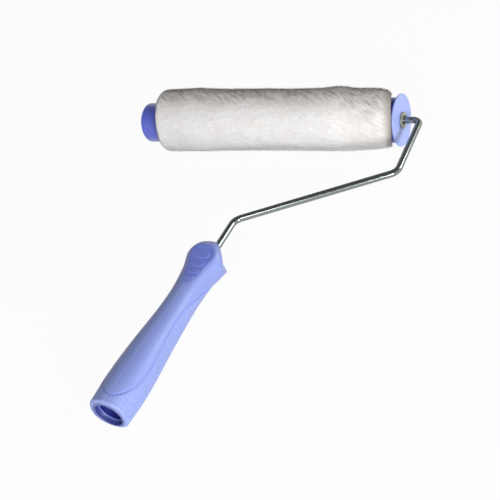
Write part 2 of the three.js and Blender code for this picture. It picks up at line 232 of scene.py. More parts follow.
def gridFaces(rows, columns, closedRows):  # quads between rings of points
    last = rows if closedRows else rows - 1
    row, column = np.meshgrid(np.arange(last), np.arange(columns), indexing="ij")
    nextRow, nextColumn = (row + 1) % rows, (column + 1) % columns
    corners = [row * columns + column, nextRow * columns + column,
               nextRow * columns + nextColumn, row * columns + nextColumn]
    return np.stack(corners, axis=-1).reshape(-1, 4).tolist()


def smoothstep(value, low, high):
    t = np.clip((value - low) / (high - low), 0, 1)
    return t * t * (3 - 2 * t)


def mixOf(first, second, share):
    return first + (second - first) * share


def eased(places, values, at):  # a curve through the values that never overshoots them
    places, values = np.asarray(places, float), np.asarray(values, float)
    rises = np.diff(values) / np.diff(places)
    slopes = np.zeros(len(places))
    for i in range(1, len(rises)):
        if rises[i - 1] * rises[i] > 0:
            slopes[i] = 2 * rises[i - 1] * rises[i] / (rises[i - 1] + rises[i])
    i = np.clip(np.searchsorted(places, at, side="right") - 1, 0, len(rises) - 1)
    span = places[i + 1] - places[i]
    t = np.clip((at - places[i]) / span, 0, 1)
    a, b = slopes[i] * span, slopes[i + 1] * span
    return ((2 * t ** 3 - 3 * t ** 2 + 1) * values[i] + (t ** 3 - 2 * t ** 2 + t) * a
            + (3 * t ** 2 - 2 * t ** 3) * values[i + 1] + (t ** 3 - t ** 2) * b)


def addLayers(mesh, **layers):  # numbers or vectors kept at the mesh's points
    for name, values in layers.items():
        vectors = values.ndim > 1
        layer = mesh.attributes.new(name, "FLOAT_VECTOR" if vectors else "FLOAT", "POINT")
        layer.data.foreach_set("vector" if vectors else "value", values.ravel())


def asObject(name, mesh):
    thing = bpy.data.objects.new(name, mesh)
    bpy.context.scene.collection.objects.link(thing)
    return thing


def smoothed(mesh, sharp):  # shaded smooth, but for edges sharper than this many degrees
    build = bmesh.new()
    build.from_mesh(mesh)
    bmesh.ops.recalc_face_normals(build, faces=build.faces)
    build.to_mesh(mesh)
    build.free()
    mesh.shade_smooth()
    mesh.set_sharp_from_angle(angle=math.radians(sharp))


def asMesh(name, points, faces, material, sharp=40):
    mesh = bpy.data.meshes.new(name)
    mesh.from_pydata(onTable(points).tolist(), [], faces)
    smoothed(mesh, sharp)
    mesh.materials.append(material)
    return asObject(name, mesh)


def settle(thing, body, slot, *nodes):  # hangs a piece on its body and hides the nodes it replaces
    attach(thing, body)
    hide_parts(*nodes)
    return thing


def softened(outline, radius, steps=4):  # a closed outline with each corner rounded
    corners = [np.array(corner, float) for corner in outline]
    made = []
    for i, corner in enumerate(corners):
        before, after = corners[i - 1] - corner, corners[(i + 1) % len(corners)] - corner
        runs = [np.linalg.norm(before), np.linalg.norm(after)]
        reach = min(radius, 0.45 * runs[0], 0.45 * runs[1])
        start, stop = corner + before / runs[0] * reach, corner + after / runs[1] * reach
        for t in np.linspace(0, 1, steps + 1):
            made.append(start * (1 - t) ** 2 + 2 * t * (1 - t) * corner + stop * t ** 2)
    return np.array(made)


def wholeTurn(sides):
    return np.linspace(0, 2 * math.pi, sides, endpoint=False)


def roundAxle(along, out, turns):
    return np.stack([along + 0 * turns, out * np.cos(turns), out * np.sin(turns)], axis=-1)


def turned(outline, sides):  # a closed outline of (along, out) turned round the axle
    along, out = outline[:, 0, None], outline[:, 1, None]
    points = roundAxle(along, out, wholeTurn(sides))
    return points.reshape(-1, 3), gridFaces(len(outline), sides, True)


# Steel

rodLook = {"low": (130, 137, 133), "high": (144, 150, 147), "metal": 1.0, "roughness": 0.12,
           "uneven": 0.1, "cloud": 60.0, "fine": (900.0, 2.0), "bump": (0.00002, 0.5)}
washerLook = {"low": (140, 144, 130), "high": (168, 172, 156), "metal": 0.7, "roughness": 0.38,
              "uneven": 0.15, "cloud": 250.0, "fine": (1500.0, 3.0), "bump": (0.00004, 0.6)}


def steel(name, look):
    finish = Finish(name)
    fine = finish.noise(*look["fine"])
    return finish.surface({
        "Base Color": finish.clouded(finish.noise(look["cloud"]), look),
        "Metallic": look["metal"], "Roughness": look["roughness"] + look["uneven"] * fine,
        "Normal": finish.bump(fine, *look["bump"])})


rodSize = {"Diameter": 0.006, "Sides": 64, "Bend steps": 40}
rodRoute = {"start": -271.4, "corners": [(16.4, 0.0), (18.2, -73.1), (-102.2, -142.4)],
            "end": (-102.2, -256.9), "bends": [7.0, 10.0, 10.0]}
earSize = {"from": 1.8, "length": 3.6, "span": 8.6, "thickness": 2.2, "turn": 45.0, "round": 1.1,
           "edge": 0.45}


def rodCarrier():
    route = [(rodRoute["start"], 0.0)] + rodRoute["corners"] + [rodRoute["end"]]
    mesh = bpy.data.meshes.new("frameRod")
    points = onTable([(x, y, 0.0) for x, y in route])
    mesh.from_pydata(points.tolist(), [(i, i + 1) for i in range(len(route) - 1)], [])
    addLayers(mesh, bend=np.array([0.0, *rodRoute["bends"], 0.0]) / 1000)
    return asObject("frameRod", mesh)


def rodRecipe(material):
    recipe = Recipe("bentWire", rodSize)
    line = recipe.add("GeometryNodeMeshToCurve", {}, {"Mesh": recipe.given("Geometry")})
    bent = recipe.add("GeometryNodeFilletCurve", {"mode": "POLY"}, {
        "Curve": line, "Count": recipe.given("Bend steps"), "Radius": recipe.named("bend")})
    ring = recipe.add("GeometryNodeCurvePrimitiveCircle", {"mode": "RADIUS"}, {
        "Resolution": recipe.given("Sides"), "Radius": recipe.given("Diameter") * 0.5})
    wire = recipe.add("GeometryNodeCurveToMesh", {}, {
        "Curve": bent, "Profile Curve": ring, "Fill Caps": True})
    recipe.end(wire, material)
    return recipe


def earPair(material):  # two flat ears squeezed out of the wire beside the washer
    start, stop = earSize["from"], earSize["from"] + earSize["length"]
    half, thin = earSize["span"] / 2, earSize["thickness"] / 2
    knee = start + earSize["length"] / 3
    outline = softened([(start, -half), (knee, -half), (stop, -thin), (stop, thin), (knee, half),
                        (start, half)], earSize["round"], 5)
    turn = math.radians(earSize["turn"])
    c, s = math.cos(turn), math.sin(turn)
    points = [(x, y * c - lift * s, y * s + lift * c) for lift in (-thin, thin) for x, y in outline]
    count = len(outline)
    faces = [list(range(count)), list(range(2 * count - 1, count - 1, -1))]
    faces += [[i, (i + 1) % count, count + (i + 1) % count, count + i] for i in range(count)]
    ears = asMesh("ears", points, faces, material)
    bevel = ears.modifiers.new("edge", "BEVEL")
    bevel.width, bevel.segments, bevel.limit_method = earSize["edge"] / 1000, 3, "ANGLE"
    return ears


def frameRod(material):
    rod = rodCarrier()
    rod.data = rodRecipe(material).made(rod)
    ears = earPair(material)
    union = rod.modifiers.new("ears", "BOOLEAN")
    union.operation, union.solver, union.object = "UNION", "EXACT", ears
    rod.data = applied(rod)
    smoothed(rod.data, sharp=35)
    bpy.data.objects.remove(ears)
    return settle(rod, "frame", "plated_steel", "frame_rod")


frameRod(steel("rodSteel", rodLook))
print("stage: rod")

washerSize = {"from": 0.3, "thickness": 1.2, "bore": 6.5, "diameter": 14.4, "edge": 0.3}


def thrustWasher(material):
    low, high = washerSize["from"], washerSize["from"] + washerSize["thickness"]
    inner, outer = washerSize["bore"] / 2, washerSize["diameter"] / 2
    outline = softened([(low, inner), (high, inner), (high, outer), (low, outer)],
                       washerSize["edge"])
    washer = asMesh("thrustWasher", *turned(outline, sides=96), material)
    return settle(washer, "washer", "washer_steel", "thrust_washer")


nutSize = {"seat": -271.4, "dish": 1.1, "thickness": 0.7, "bore": 6.5, "diameter": 12.0,
           "teeth": 6, "slot": 1.5, "slotWidth": 0.9, "slotEdge": 0.25, "sides": 192}


def pushNut(material):  # a dished ring whose inner edge is cut into teeth
    turns = wholeTurn(nutSize["sides"])
    pitch = 2 * math.pi / nutSize["teeth"]
    off = np.abs((turns + pitch / 2) % pitch - pitch / 2) * nutSize["bore"] / 2
    cut = np.clip((nutSize["slotWidth"] - off) / nutSize["slotEdge"], 0, 1)
    inner, outer = nutSize["bore"] / 2, nutSize["diameter"] / 2
    rows = []
    for share, lift in [(0, 0), (0.5, 0), (1, 0), (1, 1), (0.5, 1), (0, 1)]:
        edge = inner + nutSize["slot"] * cut
        out = outer + (edge - outer) * share
        sink = nutSize["dish"] * (outer - out) / (outer - inner)
        along = nutSize["seat"] - sink - nutSize["thickness"] * lift
        rows.append(roundAxle(along, out, turns))
    faces = gridFaces(len(rows), nutSize["sides"], True)
    nut = asMesh("pushNut", np.concatenate(rows), faces, material)
    return settle(nut, "frame", "washer_steel", "push_nut")


stamped = steel("washerSteel", washerLook)
thrustWasher(stamped)
pushNut(stamped)
print("stage: washer and nut")

# Turning plastic parts

plasticLook = {
    "tube": {"low": (88, 103, 206), "high": (96, 111, 213), "roughness": 0.26},
    "disc": {"low": (145, 161, 223), "high": (153, 169, 229), "roughness": 0.32},
    "bush": {"low": (214, 210, 196), "high": (228, 224, 212), "roughness": 0.42},
    # the dark navy (46, 54, 160) is painted shade, put on the tube's end beside the disc
    "dark": (46, 54, 160), "uneven": 0.06, "cloud": 35.0, "fine": (1400.0, 2.0),
    "bump": (0.00003, 0.4)}


def rollerPlastic(name, look):
    finish = Finish(name)
    cloud, fine = finish.noise(plasticLook["cloud"]), finish.noise(*plasticLook["fine"])
    # painted shade: the dark navy where its layer is set, on the tube beside the disc
    dark = finish.attribute("dark")
    return finish.surface({
        "Base Color": finish.mixed(dark, finish.clouded(cloud, look), paint(*plasticLook["dark"])),
        "Roughness": look["roughness"] + plasticLook["uneven"] * cloud,
        "Normal": finish.bump(fine, *plasticLook["bump"])})


# The tube's end beside the disc gets painted shade, fading in from -18 to -12 mm.
tubeSize = {"from": -272.0, "to": -2.2, "diameter": 39.8, "wall": 2.0, "edge": 0.4,
            "dark": (-18.0, -12.0)}
discSize = {"diameter": 46.2, "thickness": 1.9, "rim": 0.9, "collar": 13.0, "bore": 10.6,
            "plug": 35.2, "plugWall": 1.8, "plugDepth": 11.0, "boss": 15.0, "bossLength": 14.0,
            "collarSeat": -1.5}
capSize = {"face": -269.6, "bore": 10.6, "plug": 35.2, "wall": 1.8, "depth": 11.0, "boss": 15.0,
           "bossLength": 14.0, "edge": 0.4}
bushSize = {"bore": 6.5, "diameter": 10.0, "length": 13.0, "collar": 12.4, "collarThickness": 1.2,
            "frameSide": -0.3, "freeSide": -271.1, "edge": 0.25}


def coreTube(material):
    inner, outer = tubeSize["diameter"] / 2 - tubeSize["wall"], tubeSize["diameter"] / 2
    low, high = tubeSize["from"], tubeSize["to"]
    dark = tubeSize["dark"]
    outline = [(low, inner), (high, inner), (high, outer), (dark[1], outer), (dark[0], outer),
               (low, outer)]
    points, faces = turned(softened(outline, tubeSize["edge"]), sides=160)
    tube = asMesh("coreTube", points, faces, material)
    # a layer of painted shade for the tube's end beside the disc
    addLayers(tube.data, dark=smoothstep(points[:, 0], *dark))
    return settle(tube, "roller", "roller_plastic", "core_tube")


def splashDisc(material):
    rim, back = discSize["diameter"] / 2, -discSize["thickness"]
    collar, bore, seat = discSize["collar"] / 2, discSize["bore"] / 2, discSize["collarSeat"]
    plug, wall, boss = discSize["plug"] / 2, discSize["plugWall"], discSize["boss"] / 2
    bossEnd, plugEnd = -discSize["bossLength"], -discSize["plugDepth"]
    outline = softened([
        (seat, bore), (bossEnd, bore), (bossEnd, boss), (back - wall, boss),
        (back - wall, plug - wall), (plugEnd, plug - wall), (plugEnd, plug), (back, plug),
        (back, rim), (0.0, rim), (0.0, collar), (seat, collar)], discSize["rim"], 6)
    disc = asMesh("splashDisc", *turned(outline, sides=192), material)
    return settle(disc, "roller", "disc_plastic", "splash_disc")


def endCap(material):
    face, bore, boss = capSize["face"], capSize["bore"] / 2, capSize["boss"] / 2
    plug, wall = capSize["plug"] / 2, capSize["wall"]
    plugEnd, bossEnd = face + capSize["depth"], face + capSize["bossLength"]
    outline = softened([
        (face, bore), (face, plug), (plugEnd, plug), (plugEnd, plug - wall),
        (face + wall, plug - wall), (face + wall, boss), (bossEnd, boss), (bossEnd, bore)],
        capSize["edge"])
    cap = asMesh("endCap", *turned(outline, sides=160), material)
    return settle(cap, "roller", "roller_plastic", "end_cap")


def bush(name, place, way, material, node):
    inner, outer, collar = bushSize["bore"] / 2, bushSize["diameter"] / 2, bushSize["collar"] / 2
    thick, length = bushSize["collarThickness"], bushSize["length"]
    outline = [(0, inner), (0, collar), (thick, collar), (thick, outer), (length, outer),
               (length, inner)]
    outline = softened([(place + way * along, out) for along, out in outline], bushSize["edge"])
    made = asMesh(name, *turned(outline, sides=96), material)
    return settle(made, "roller", "bush_plastic", node)


tubePlastic = rollerPlastic("tubePlastic", plasticLook["tube"])
coreTube(tubePlastic)
endCap(tubePlastic)
splashDisc(rollerPlastic("discPlastic", plasticLook["disc"]))
bushPlastic = rollerPlastic("bushPlastic", plasticLook["bush"])
bush("bushFrameSide", bushSize["frameSide"], -1, bushPlastic, "bush_frame_side")
bush("bushFreeSide", bushSize["freeSide"], 1, bushPlastic, "bush_free_side")
print("stage: tube, disc, caps and bushes")

# Cover

# Neither end of the cover is cut square. By the disc only the side at askewTurn is full length,
# and at the other end the sides between askewTurn and its opposite stand out farther.
linerSize = {"from": -247.2, "to": -2.8, "bore": 40.4, "wall": 1.2, "edge": 0.15}
napSize = {
    "from": -247.8, "to": -2.4, "bore": 43.4, "thinnest": 0.7, "step": 1.0,
    "leftShoulder": 4.2, "rightShoulder": 5.2, "shoulderRings": 7,
    "places": [-248, -212, -188, -164, -140, -116, -76, -60, -44, -20, -2],
    "radii": [30.2, 30.2, 29.1, 28.6, 27.8, 27.3, 27.2, 27.3, 26.1, 25.5, 23.8],
    "lift": 2.1, "liftTurn": 58.0,
    "bulges": [(-212, 60, 0.5, 9), (-60, 60, 0.8, 9)],  # place, turn, height and spread
    "bulgeRound": 6.0, "wave": 0.5, "waveLength": 30.0, "waveRound": 2.0,
    "lump": 0.3, "lumpLength": 7.0, "lumpRound": 3.5,
    "rest": 27.8, "restFrom": (0.72, 0.96), "floorGap": 0.25,
    "byDisc": (-65.0, -15.0), "byDiscLift": 0.6,
    "askew": (5.0, 8.2), "askewTurn": 150.0, "askewReach": 40.0}
# On the side turned to the angle given below, up and back, and more so by the disc, the pile gets
# painted brown shade, broken into mottles.
napLook = {
    "shade": (228, 225, 222), "lit": (251, 250, 250), "tip": (252, 252, 252),
    # the brown tone is painted shade for the up-and-back side; the grey-brown one after it is
    # painted shade for the end by the disc
    "paintedBrownShade": (200, 189, 180), "cut": (168, 161, 156), "shine": 0.1, "sheen": 0.15,
    "streak": (1.0, 4.0, 0.65), "streaks": (0.3, 0.7), "shadeMottle": (0.3, 4.0, 0.7),
    "shadeMottles": (0.36, 0.6), "bump": (0.0006, 0.5), "paintedEndShadeReach": 9.0, "ruffleTurn": 45.0,
    "ruffle": (0.15, 0.85), "byDiscShadeSpread": 0.5, "byDiscShadeLeast": 0.35}
pileSize = {"Density": 1.05e6, "Length": 0.0023, "Base radius": 0.00016, "Stray": 0.55,
            "Least": 0.7, "Most": 1.15, "Seed": 11, "Size seed": 5, "Tone seed": 9}
# The pile lies in streaks, which twist round the cover by so many radians in each millimetre.
pileLie = {"rise": 0.75, "twist": 0.025, "along": 0.3}
linerLook = {"low": (205, 192, 150), "high": (228, 217, 180), "roughness": 0.72, "uneven": 0.15,
             "fibre": (420.0, 4.0), "bump": (0.0001, 0.6)}


def linerCream():
    finish = Finish("linerCream")
    fibre = finish.noise(*linerLook["fibre"])
    return finish.surface({
        "Base Color": finish.clouded(fibre, linerLook),
        "Roughness": linerLook["roughness"] + linerLook["uneven"] * fibre,
        "Normal": finish.bump(fibre, *linerLook["bump"])})


def napTint(finish, tone):  # white pile, with painted shade in its hollows, painted brown shade on its up-and-back side and by the disc, and painted shade on its end by the disc
    shade, lit, tip, paintedBrownShade, cut = (
        paint(*napLook[name]) for name in ("shade", "lit", "tip", "paintedBrownShade", "cut"))
    place = finish.attribute("streak", "Vector")
    streak = finish.noise(*napLook["streak"], place)
    # painted shade: darker where the streak noise is low, where it also dents the roots
    colour = finish.mixed(streak.between(*napLook["streaks"]), shade, lit)
    colour = finish.mixed(tone, colour, tip)
    shadeMottle = finish.noise(*napLook["shadeMottle"], place).between(*napLook["shadeMottles"])
    # painted brown shade, broken into mottles
    colour = finish.mixed(finish.attribute("ruffle") * (1 - shadeMottle), colour, paintedBrownShade)
    # painted shade on the end beside the disc
    return finish.mixed(finish.attribute("end"), colour, cut), streak


def napRoots():
    finish = Finish("napRoots")
    colour, streak = napTint(finish, 0.0)
    return finish.surface({
        "Base Color": colour, "Roughness": 1.0, "Specular IOR Level": napLook["shine"],
        "Normal": finish.bump(streak, *napLook["bump"])})


def napFibre():
    finish = Finish("napFibre")
    colour = napTint(finish, finish.attribute("tone"))[0]
    return finish.surface({
        "Base Color": colour, "Roughness": 1.0, "Specular IOR Level": napLook["shine"],
        "Sheen Weight": napLook["sheen"]})


def sleeveLiner(material):
    inner, outer = linerSize["bore"] / 2, linerSize["bore"] / 2 + linerSize["wall"]
    low, high = linerSize["from"], linerSize["to"]
    outline = [(low, inner), (high, inner), (high, outer), (low, outer)]
    points, faces = turned(softened(outline, linerSize["edge"]), sides=128)
    liner = asMesh("sleeveLiner", cutAskew(points), faces, material)
    return settle(liner, "sleeve", "core_board", "sleeve_core")


def cutAskew(points):  # both ends drawn back, each by its own slant
    turn = np.arctan2(points[:, 2], points[:, 1]) - math.radians(napSize["askewTurn"])
    points, along = points.copy(), points[:, 0].copy()
    slants = np.sin(turn) ** 2, 1 - np.cos(turn)
    places, reach = (napSize["from"], napSize["to"]), napSize["askewReach"]
    for place, way, shift, slant in zip(places, (-1, 1), napSize["askew"], slants):
        near = smoothstep(way * along, way * place - reach, way * place)
        points[:, 0] -= shift * slant * near
    return points


def napOutline():  # places along the cover and how far below the full radius each one lies
    low, high, step = (napSize[key] for key in ("from", "to", "step"))
    first, last = napSize["leftShoulder"], napSize["rightShoulder"]
    arc = np.linspace(0, math.pi / 2, napSize["shoulderRings"])
    left = [(low + first * (1 - math.cos(t)), first * (1 - math.sin(t))) for t in arc]
    right = [(high - last * (1 - math.cos(t)), last * (1 - math.sin(t))) for t in arc[::-1]]
    places = np.linspace(low + first, high - last, int((high - low) / step))
    return left + [(at, 0.0) for at in places[1:-1]] + right


def napRadius(along, turn):
    radius = float(eased(napSize["places"], napSize["radii"], along))
    radius += napSize["lift"] * math.cos(turn - math.radians(napSize["liftTurn"]))
    for place, side, height, spread in napSize["bulges"]:
        aside = math.sin((turn - math.radians(side)) / 2) * napSize["bulgeRound"]
        off = np.hypot((along - place) / spread, aside)
        radius += height * math.exp(-off ** 2)
    around = [napSize["waveRound"] * part for part in (math.cos(turn), math.sin(turn))]
    finer = [napSize["lumpRound"] * part for part in around]
    radius += napSize["wave"] * noise.noise(Vector((along / napSize["waveLength"], *around)))
    radius += napSize["lump"] * noise.noise(Vector((along / napSize["lumpLength"], *finer)))
    resting = smoothstep(-math.sin(turn), *napSize["restFrom"])
    resting *= 1 - napSize["byDiscLift"] * smoothstep(along, *napSize["byDisc"])
    return mixOf(radius, max(radius, napSize["rest"]), resting)


def napGround(material):
    bore, sides = napSize["bore"] / 2, int(2 * math.pi * napSize["rest"] / napSize["step"])
    low, high = napSize["from"], napSize["to"]
    turns = wholeTurn(sides)
    rows, pile, end = [], [], []

    def row(along, out, piled, cut):
        rows.append(roundAxle(along, out, turns))
        pile.append(piled)
        end.append(cut)

    for along, drop in napOutline():
        out = np.array([napRadius(along, turn) for turn in turns]) - drop
        # painted shade on the end beside the disc, fading in over its last millimetres
        cut = float(smoothstep(along, high - napLook["paintedEndShadeReach"], high))
        row(along, np.maximum(out, bore + napSize["thinnest"]), 1.0, cut)
    row(high, bore, 0.0, 1.0)  # back through the bore
    row(low, bore, 0.0, 0.0)
    points = np.concatenate(rows)
    faces = gridFaces(len(rows), sides, True)
    ground = asMesh("napGround", cutAskew(points), faces, material, sharp=60)
    streak, lie = pileWay(points)
    addLayers(ground.data, pile=np.repeat(pile, sides), end=np.repeat(end, sides),
              ruffle=ruffleShare(points), streak=streak, lie=turnedByLean(lie))
    keepOffFloor(ground.data)
    return settle(ground, "sleeve", "nap_fabric", "pile_cover")


def pileWay(points):  # where each point is among the streaks, and which way its pile lies
    turn, out = np.arctan2(points[:, 2], points[:, 1]), np.hypot(points[:, 1], points[:, 2])
    twisted = turn - pileLie["twist"] * points[:, 0]
    streak = [pileLie["along"] * points[:, 0], out * np.cos(twisted), out * np.sin(twisted)]
    slope, rise = np.arctan(pileLie["twist"] * out), pileLie["rise"]
    outward, aside = math.sin(rise), math.cos(rise) * np.sin(slope)
    lie = [math.cos(rise) * np.cos(slope), outward * np.cos(turn) - aside * np.sin(turn),
           outward * np.sin(turn) + aside * np.cos(turn)]
    return np.stack(streak, axis=-1), np.stack(lie, axis=-1)


# the share of painted brown shade: on the up-and-back side, and more by the disc
def ruffleShare(points):
    turn = np.arctan2(points[:, 2], points[:, 1]) - math.radians(napLook["ruffleTurn"])
    byDisc = smoothstep(points[:, 0], *napSize["byDisc"])
    side = np.cos(turn) + napLook["byDiscShadeSpread"] * byDisc
    return np.maximum(smoothstep(side, *napLook["ruffle"]), napLook["byDiscShadeLeast"] * byDisc)


def keepOffFloor(mesh):  # the nap lies flat where it rests
    spots = np.empty(3 * len(mesh.vertices))
    mesh.vertices.foreach_get("co", spots)
    spots = spots.reshape(-1, 3)
    spots[:, 2] = np.maximum(spots[:, 2], napSize["floorGap"] / 1000)
    mesh.vertices.foreach_set("co", spots.ravel())
    mesh.update()


def pileRecipe(material):
    recipe = Recipe("napPile", pileSize)
    seed, stray = recipe.given("Seed"), recipe.given("Stray")
    scatter = recipe.add("GeometryNodeDistributePointsOnFaces", {}, {
        "Mesh": recipe.given("Geometry"), "Density": recipe.named("pile") * recipe.given("Density"),
        "Seed": seed}, "Points")
    outward = Flow(recipe, scatter.socket.node.outputs["Normal"])
    spots = recipe.stored(scatter, "outward", outward, "FLOAT_VECTOR")
    least, most = (recipe.add("ShaderNodeCombineXYZ", {}, {axis: way * stray for axis in "XYZ"})
                   for way in (-1, 1))
    swing = recipe.add("FunctionNodeRandomValue", {"data_type": "FLOAT_VECTOR"}, {
        "Min": least, "Max": most, "Seed": seed})
    way = recipe.add("ShaderNodeVectorMath", {"operation": "ADD"}, {
        0: recipe.named("lie", "FLOAT_VECTOR"), 1: swing})
    facing = recipe.add("FunctionNodeAlignRotationToVector", {"axis": "Z"}, {"Vector": way})
    size = recipe.add("FunctionNodeRandomValue", {"data_type": "FLOAT"}, {
        2: recipe.given("Least"), 3: recipe.given("Most"), "Seed": recipe.given("Size seed")}, 1)
    strand = recipe.add("GeometryNodeMeshCone", {"fill_type": "NGON"}, {
        "Vertices": 3, "Side Segments": 1, "Radius Top": 0.0,
        "Radius Bottom": recipe.given("Base radius"), "Depth": recipe.given("Length")}, "Mesh")
    planted = recipe.add("GeometryNodeInstanceOnPoints", {}, {
        "Points": spots, "Instance": strand, "Rotation": facing, "Scale": size})
    chance = recipe.add("FunctionNodeRandomValue", {"data_type": "FLOAT"}, {
        2: 0.0, 3: 1.0, "Seed": recipe.given("Tone seed")}, 1)
    recipe.end(recipe.stored(planted, "tone", chance, domain="INSTANCE"), material)
    return recipe


def napTufts(ground, material):
    mesh = pileRecipe(material).made(ground)
    tufts = asObject("napTufts", mesh)
    keepOffFloor(mesh)
    outward = np.empty(3 * len(mesh.vertices))  # so that they are shaded as one soft surface
    mesh.attributes["outward"].data.foreach_get("vector", outward)
    mesh.shade_smooth()
    mesh.normals_split_custom_set_from_vertices(outward.reshape(-1, 3))
    print("tufts:", len(mesh.polygons), "faces")
    return settle(tufts, "sleeve", "nap_fabric", "pile_cover")


sleeveLiner(linerCream())
napTufts(napGround(napRoots()), napFibre())
print("stage: cover")

# Handle

mould = {
    "length": 172.2, "nose": 174.9, "inset": 102.2, "turn": 12.0, "columns": 192,
    "headShare": 0.14, "waistShare": 0.36,
    "shares": [0.052, 0.14, 0.22, 0.36, 0.87, 1], "widths": [34.0, 31.4, 25.8, 23.2, 31.7, 30.0],
    "tops": [19.0, 15.6, 13.7, 13.6, 16.5, 16.3], "depths": [14.2, 14.2, 13.1, 11.4, 14.1, 12.9],
    "headSquare": 3.2, "gripSquare": 2.2, "noseRadius": 3.5, "noseLength": 25.0, "noseSlant": 8.6,
    "noseAngles": (0, 110), "crownGrowth": 0.81, "sideGrowth": 1.6, "growthAngles": (20, 90),
    "hookHalf": 16.8, "hookDepth": 18.6, "hookReach": 10.9, "hookSquare": 3.1, "hookFlare": 0.55,
    "hookAngles": (60, 155), "hookWeb": 21.0, "lip": 0.8, "skirtReach": 28.0, "skirtStep": 0.7,
    "skirtFade": 4.0, "endRound": 1.6, "endIn": 2.2,
    "sway": 0.8, "swayFrom": (12.0, 30.0), "swayTo": (75.0, 115.0)}
skinRows = {"head": 96, "headCrowd": 1.6, "scoop": 90, "grip": 130, "end": 50, "endFrom": 150}
pad = {"height": 13.15, "dish": 118.0, "dishReach": 100.0, "centre": 42.0, "to": 84.0,
       "blend": 0.6, "crease": 0.16, "ovalHeight": 0.36, "ovalEdge": 0.5,
       "places": [24.3, 33.2, 41.2, 48], "widths": [11.6, 10.2, 8.8, 7.4],
       "lengths": [7.6, 6.6, 5.4, 4.2]}
groove = {  # the path gives distances and degrees from the top
    "path": [(38, 118), (47.9, 91), (60.2, 72), (72.7, 54), (90.8, 46), (116.8, 54), (134.5, 57),
             (149.5, 49), (159, 32), (164, 14), (165, 0)],
    "from": (37.0, 47.0), "depth": 0.5, "width": 0.6}
grained = {"edge": (-0.5, 1.5), "from": (36.0, 60.0), "all": 165.0}
socket = {"mouth": 21.4, "mouthDepth": 4.0, "bore": 19.4, "depth": 52.0, "cone": 5.0,
          "coneEnd": 0.5, "chamfer": 0.5, "corner": 0.1, "lip": 0.4, "lipEnd": 0.7,
          "rodBore": 3.2, "rodRows": (80.0, 40.0, 14.0), "rodEdge": 0.6, "faceRise": 0.12,
          "ribs": (11.0, 17.0), "rib": 0.25, "ribShape": ((0.8, 0), (0.3, 1), (-0.3, 1), (-0.8, 0)),
          # how much painted shade each part of the handle's end gets: the rim, the mouth, the lip,
          # kept lighter as a painted highlight on its edge, and the socket
          "shade": {"rim": 0.65, "mouth": 0.88, "lip": 0.4, "socket": 1.0}}


def sectionAt(distance):  # half width, height and depth of the handle
    places = np.array(mould["shares"]) * mould["length"]
    width = eased(places, mould["widths"], distance) / 2
    return width, eased(places, mould["tops"], distance), eased(places, mould["depths"], distance)


def boxy(angle, width, height, square):  # the radius of a rounded box
    across, along = np.abs(np.sin(angle)) / width, np.abs(np.cos(angle)) / height
    return (across ** square + along ** square) ** (-1 / square)


def fromTop(angle):  # degrees from the top, the same on both sides
    return np.degrees(np.arccos(np.clip(np.cos(angle), -1, 1)))


def underness(angle):  # 0 on top to 1 below
    return smoothstep(fromTop(angle), *mould["hookAngles"])


def noseStart(angle):  # the front slants back towards the hook
    return mould["noseSlant"] * smoothstep(fromTop(angle), *mould["noseAngles"])


def hookEdge(angle):  # how far from the nose the head ends
    return mixOf(mould["skirtReach"], mould["hookReach"], underness(angle))


def hookRadius(angle):
    return boxy(angle, mould["hookHalf"], mould["hookDepth"], mould["hookSquare"])


def gripRadius(angle, distance):
    width, top, depth = sectionAt(distance)
    length = mould["length"]
    fade = smoothstep(distance, mould["headShare"] * length, mould["waistShare"] * length)
    upper = boxy(angle, width, top, mixOf(mould["headSquare"], mould["gripSquare"], fade))
    return np.where(np.cos(angle) >= 0, upper, boxy(angle, width, depth, mould["gripSquare"]))


def headRadius(angle, distance):  # rounded at the nose, flared at the hook
    under, start, edge = underness(angle), noseStart(angle), hookEdge(angle)
    flare = np.clip((distance - start) / (edge - start), 0, 1) ** mould["hookFlare"]
    rounding = np.clip((distance - start) / (mould["noseLength"] - start), 0, 1)
    sideways = smoothstep(fromTop(angle), *mould["growthAngles"])
    power = mixOf(mould["crownGrowth"], mould["sideGrowth"], sideways)
    growth = mixOf((1 - (1 - rounding) ** 2) ** power, flare, under)
    full = mixOf(gripRadius(angle, distance), hookRadius(angle), under)
    return mixOf(mould["noseRadius"], full, growth)


def scoopRadius(angle, distance):  # from the head's edge to the waist
    under = underness(angle)
    fade = 1 - smoothstep(distance, mould["skirtReach"], mould["waistShare"] * mould["length"])
    inset = mould["skirtStep"] * np.minimum(1, mould["skirtFade"] * under) * fade
    behind = np.clip((distance - hookEdge(angle)) / mould["hookWeb"], 0, 1)
    grip = gripRadius(angle, distance)
    return grip - inset + (hookRadius(angle) - grip) * (under * (1 - behind)) ** 2


def padLevel(distance):  # height of the dished pad
    reach = np.minimum(np.abs(distance - pad["centre"]), pad["dishReach"])
    return pad["height"] + pad["dish"] - np.sqrt(pad["dish"] ** 2 - reach ** 2)


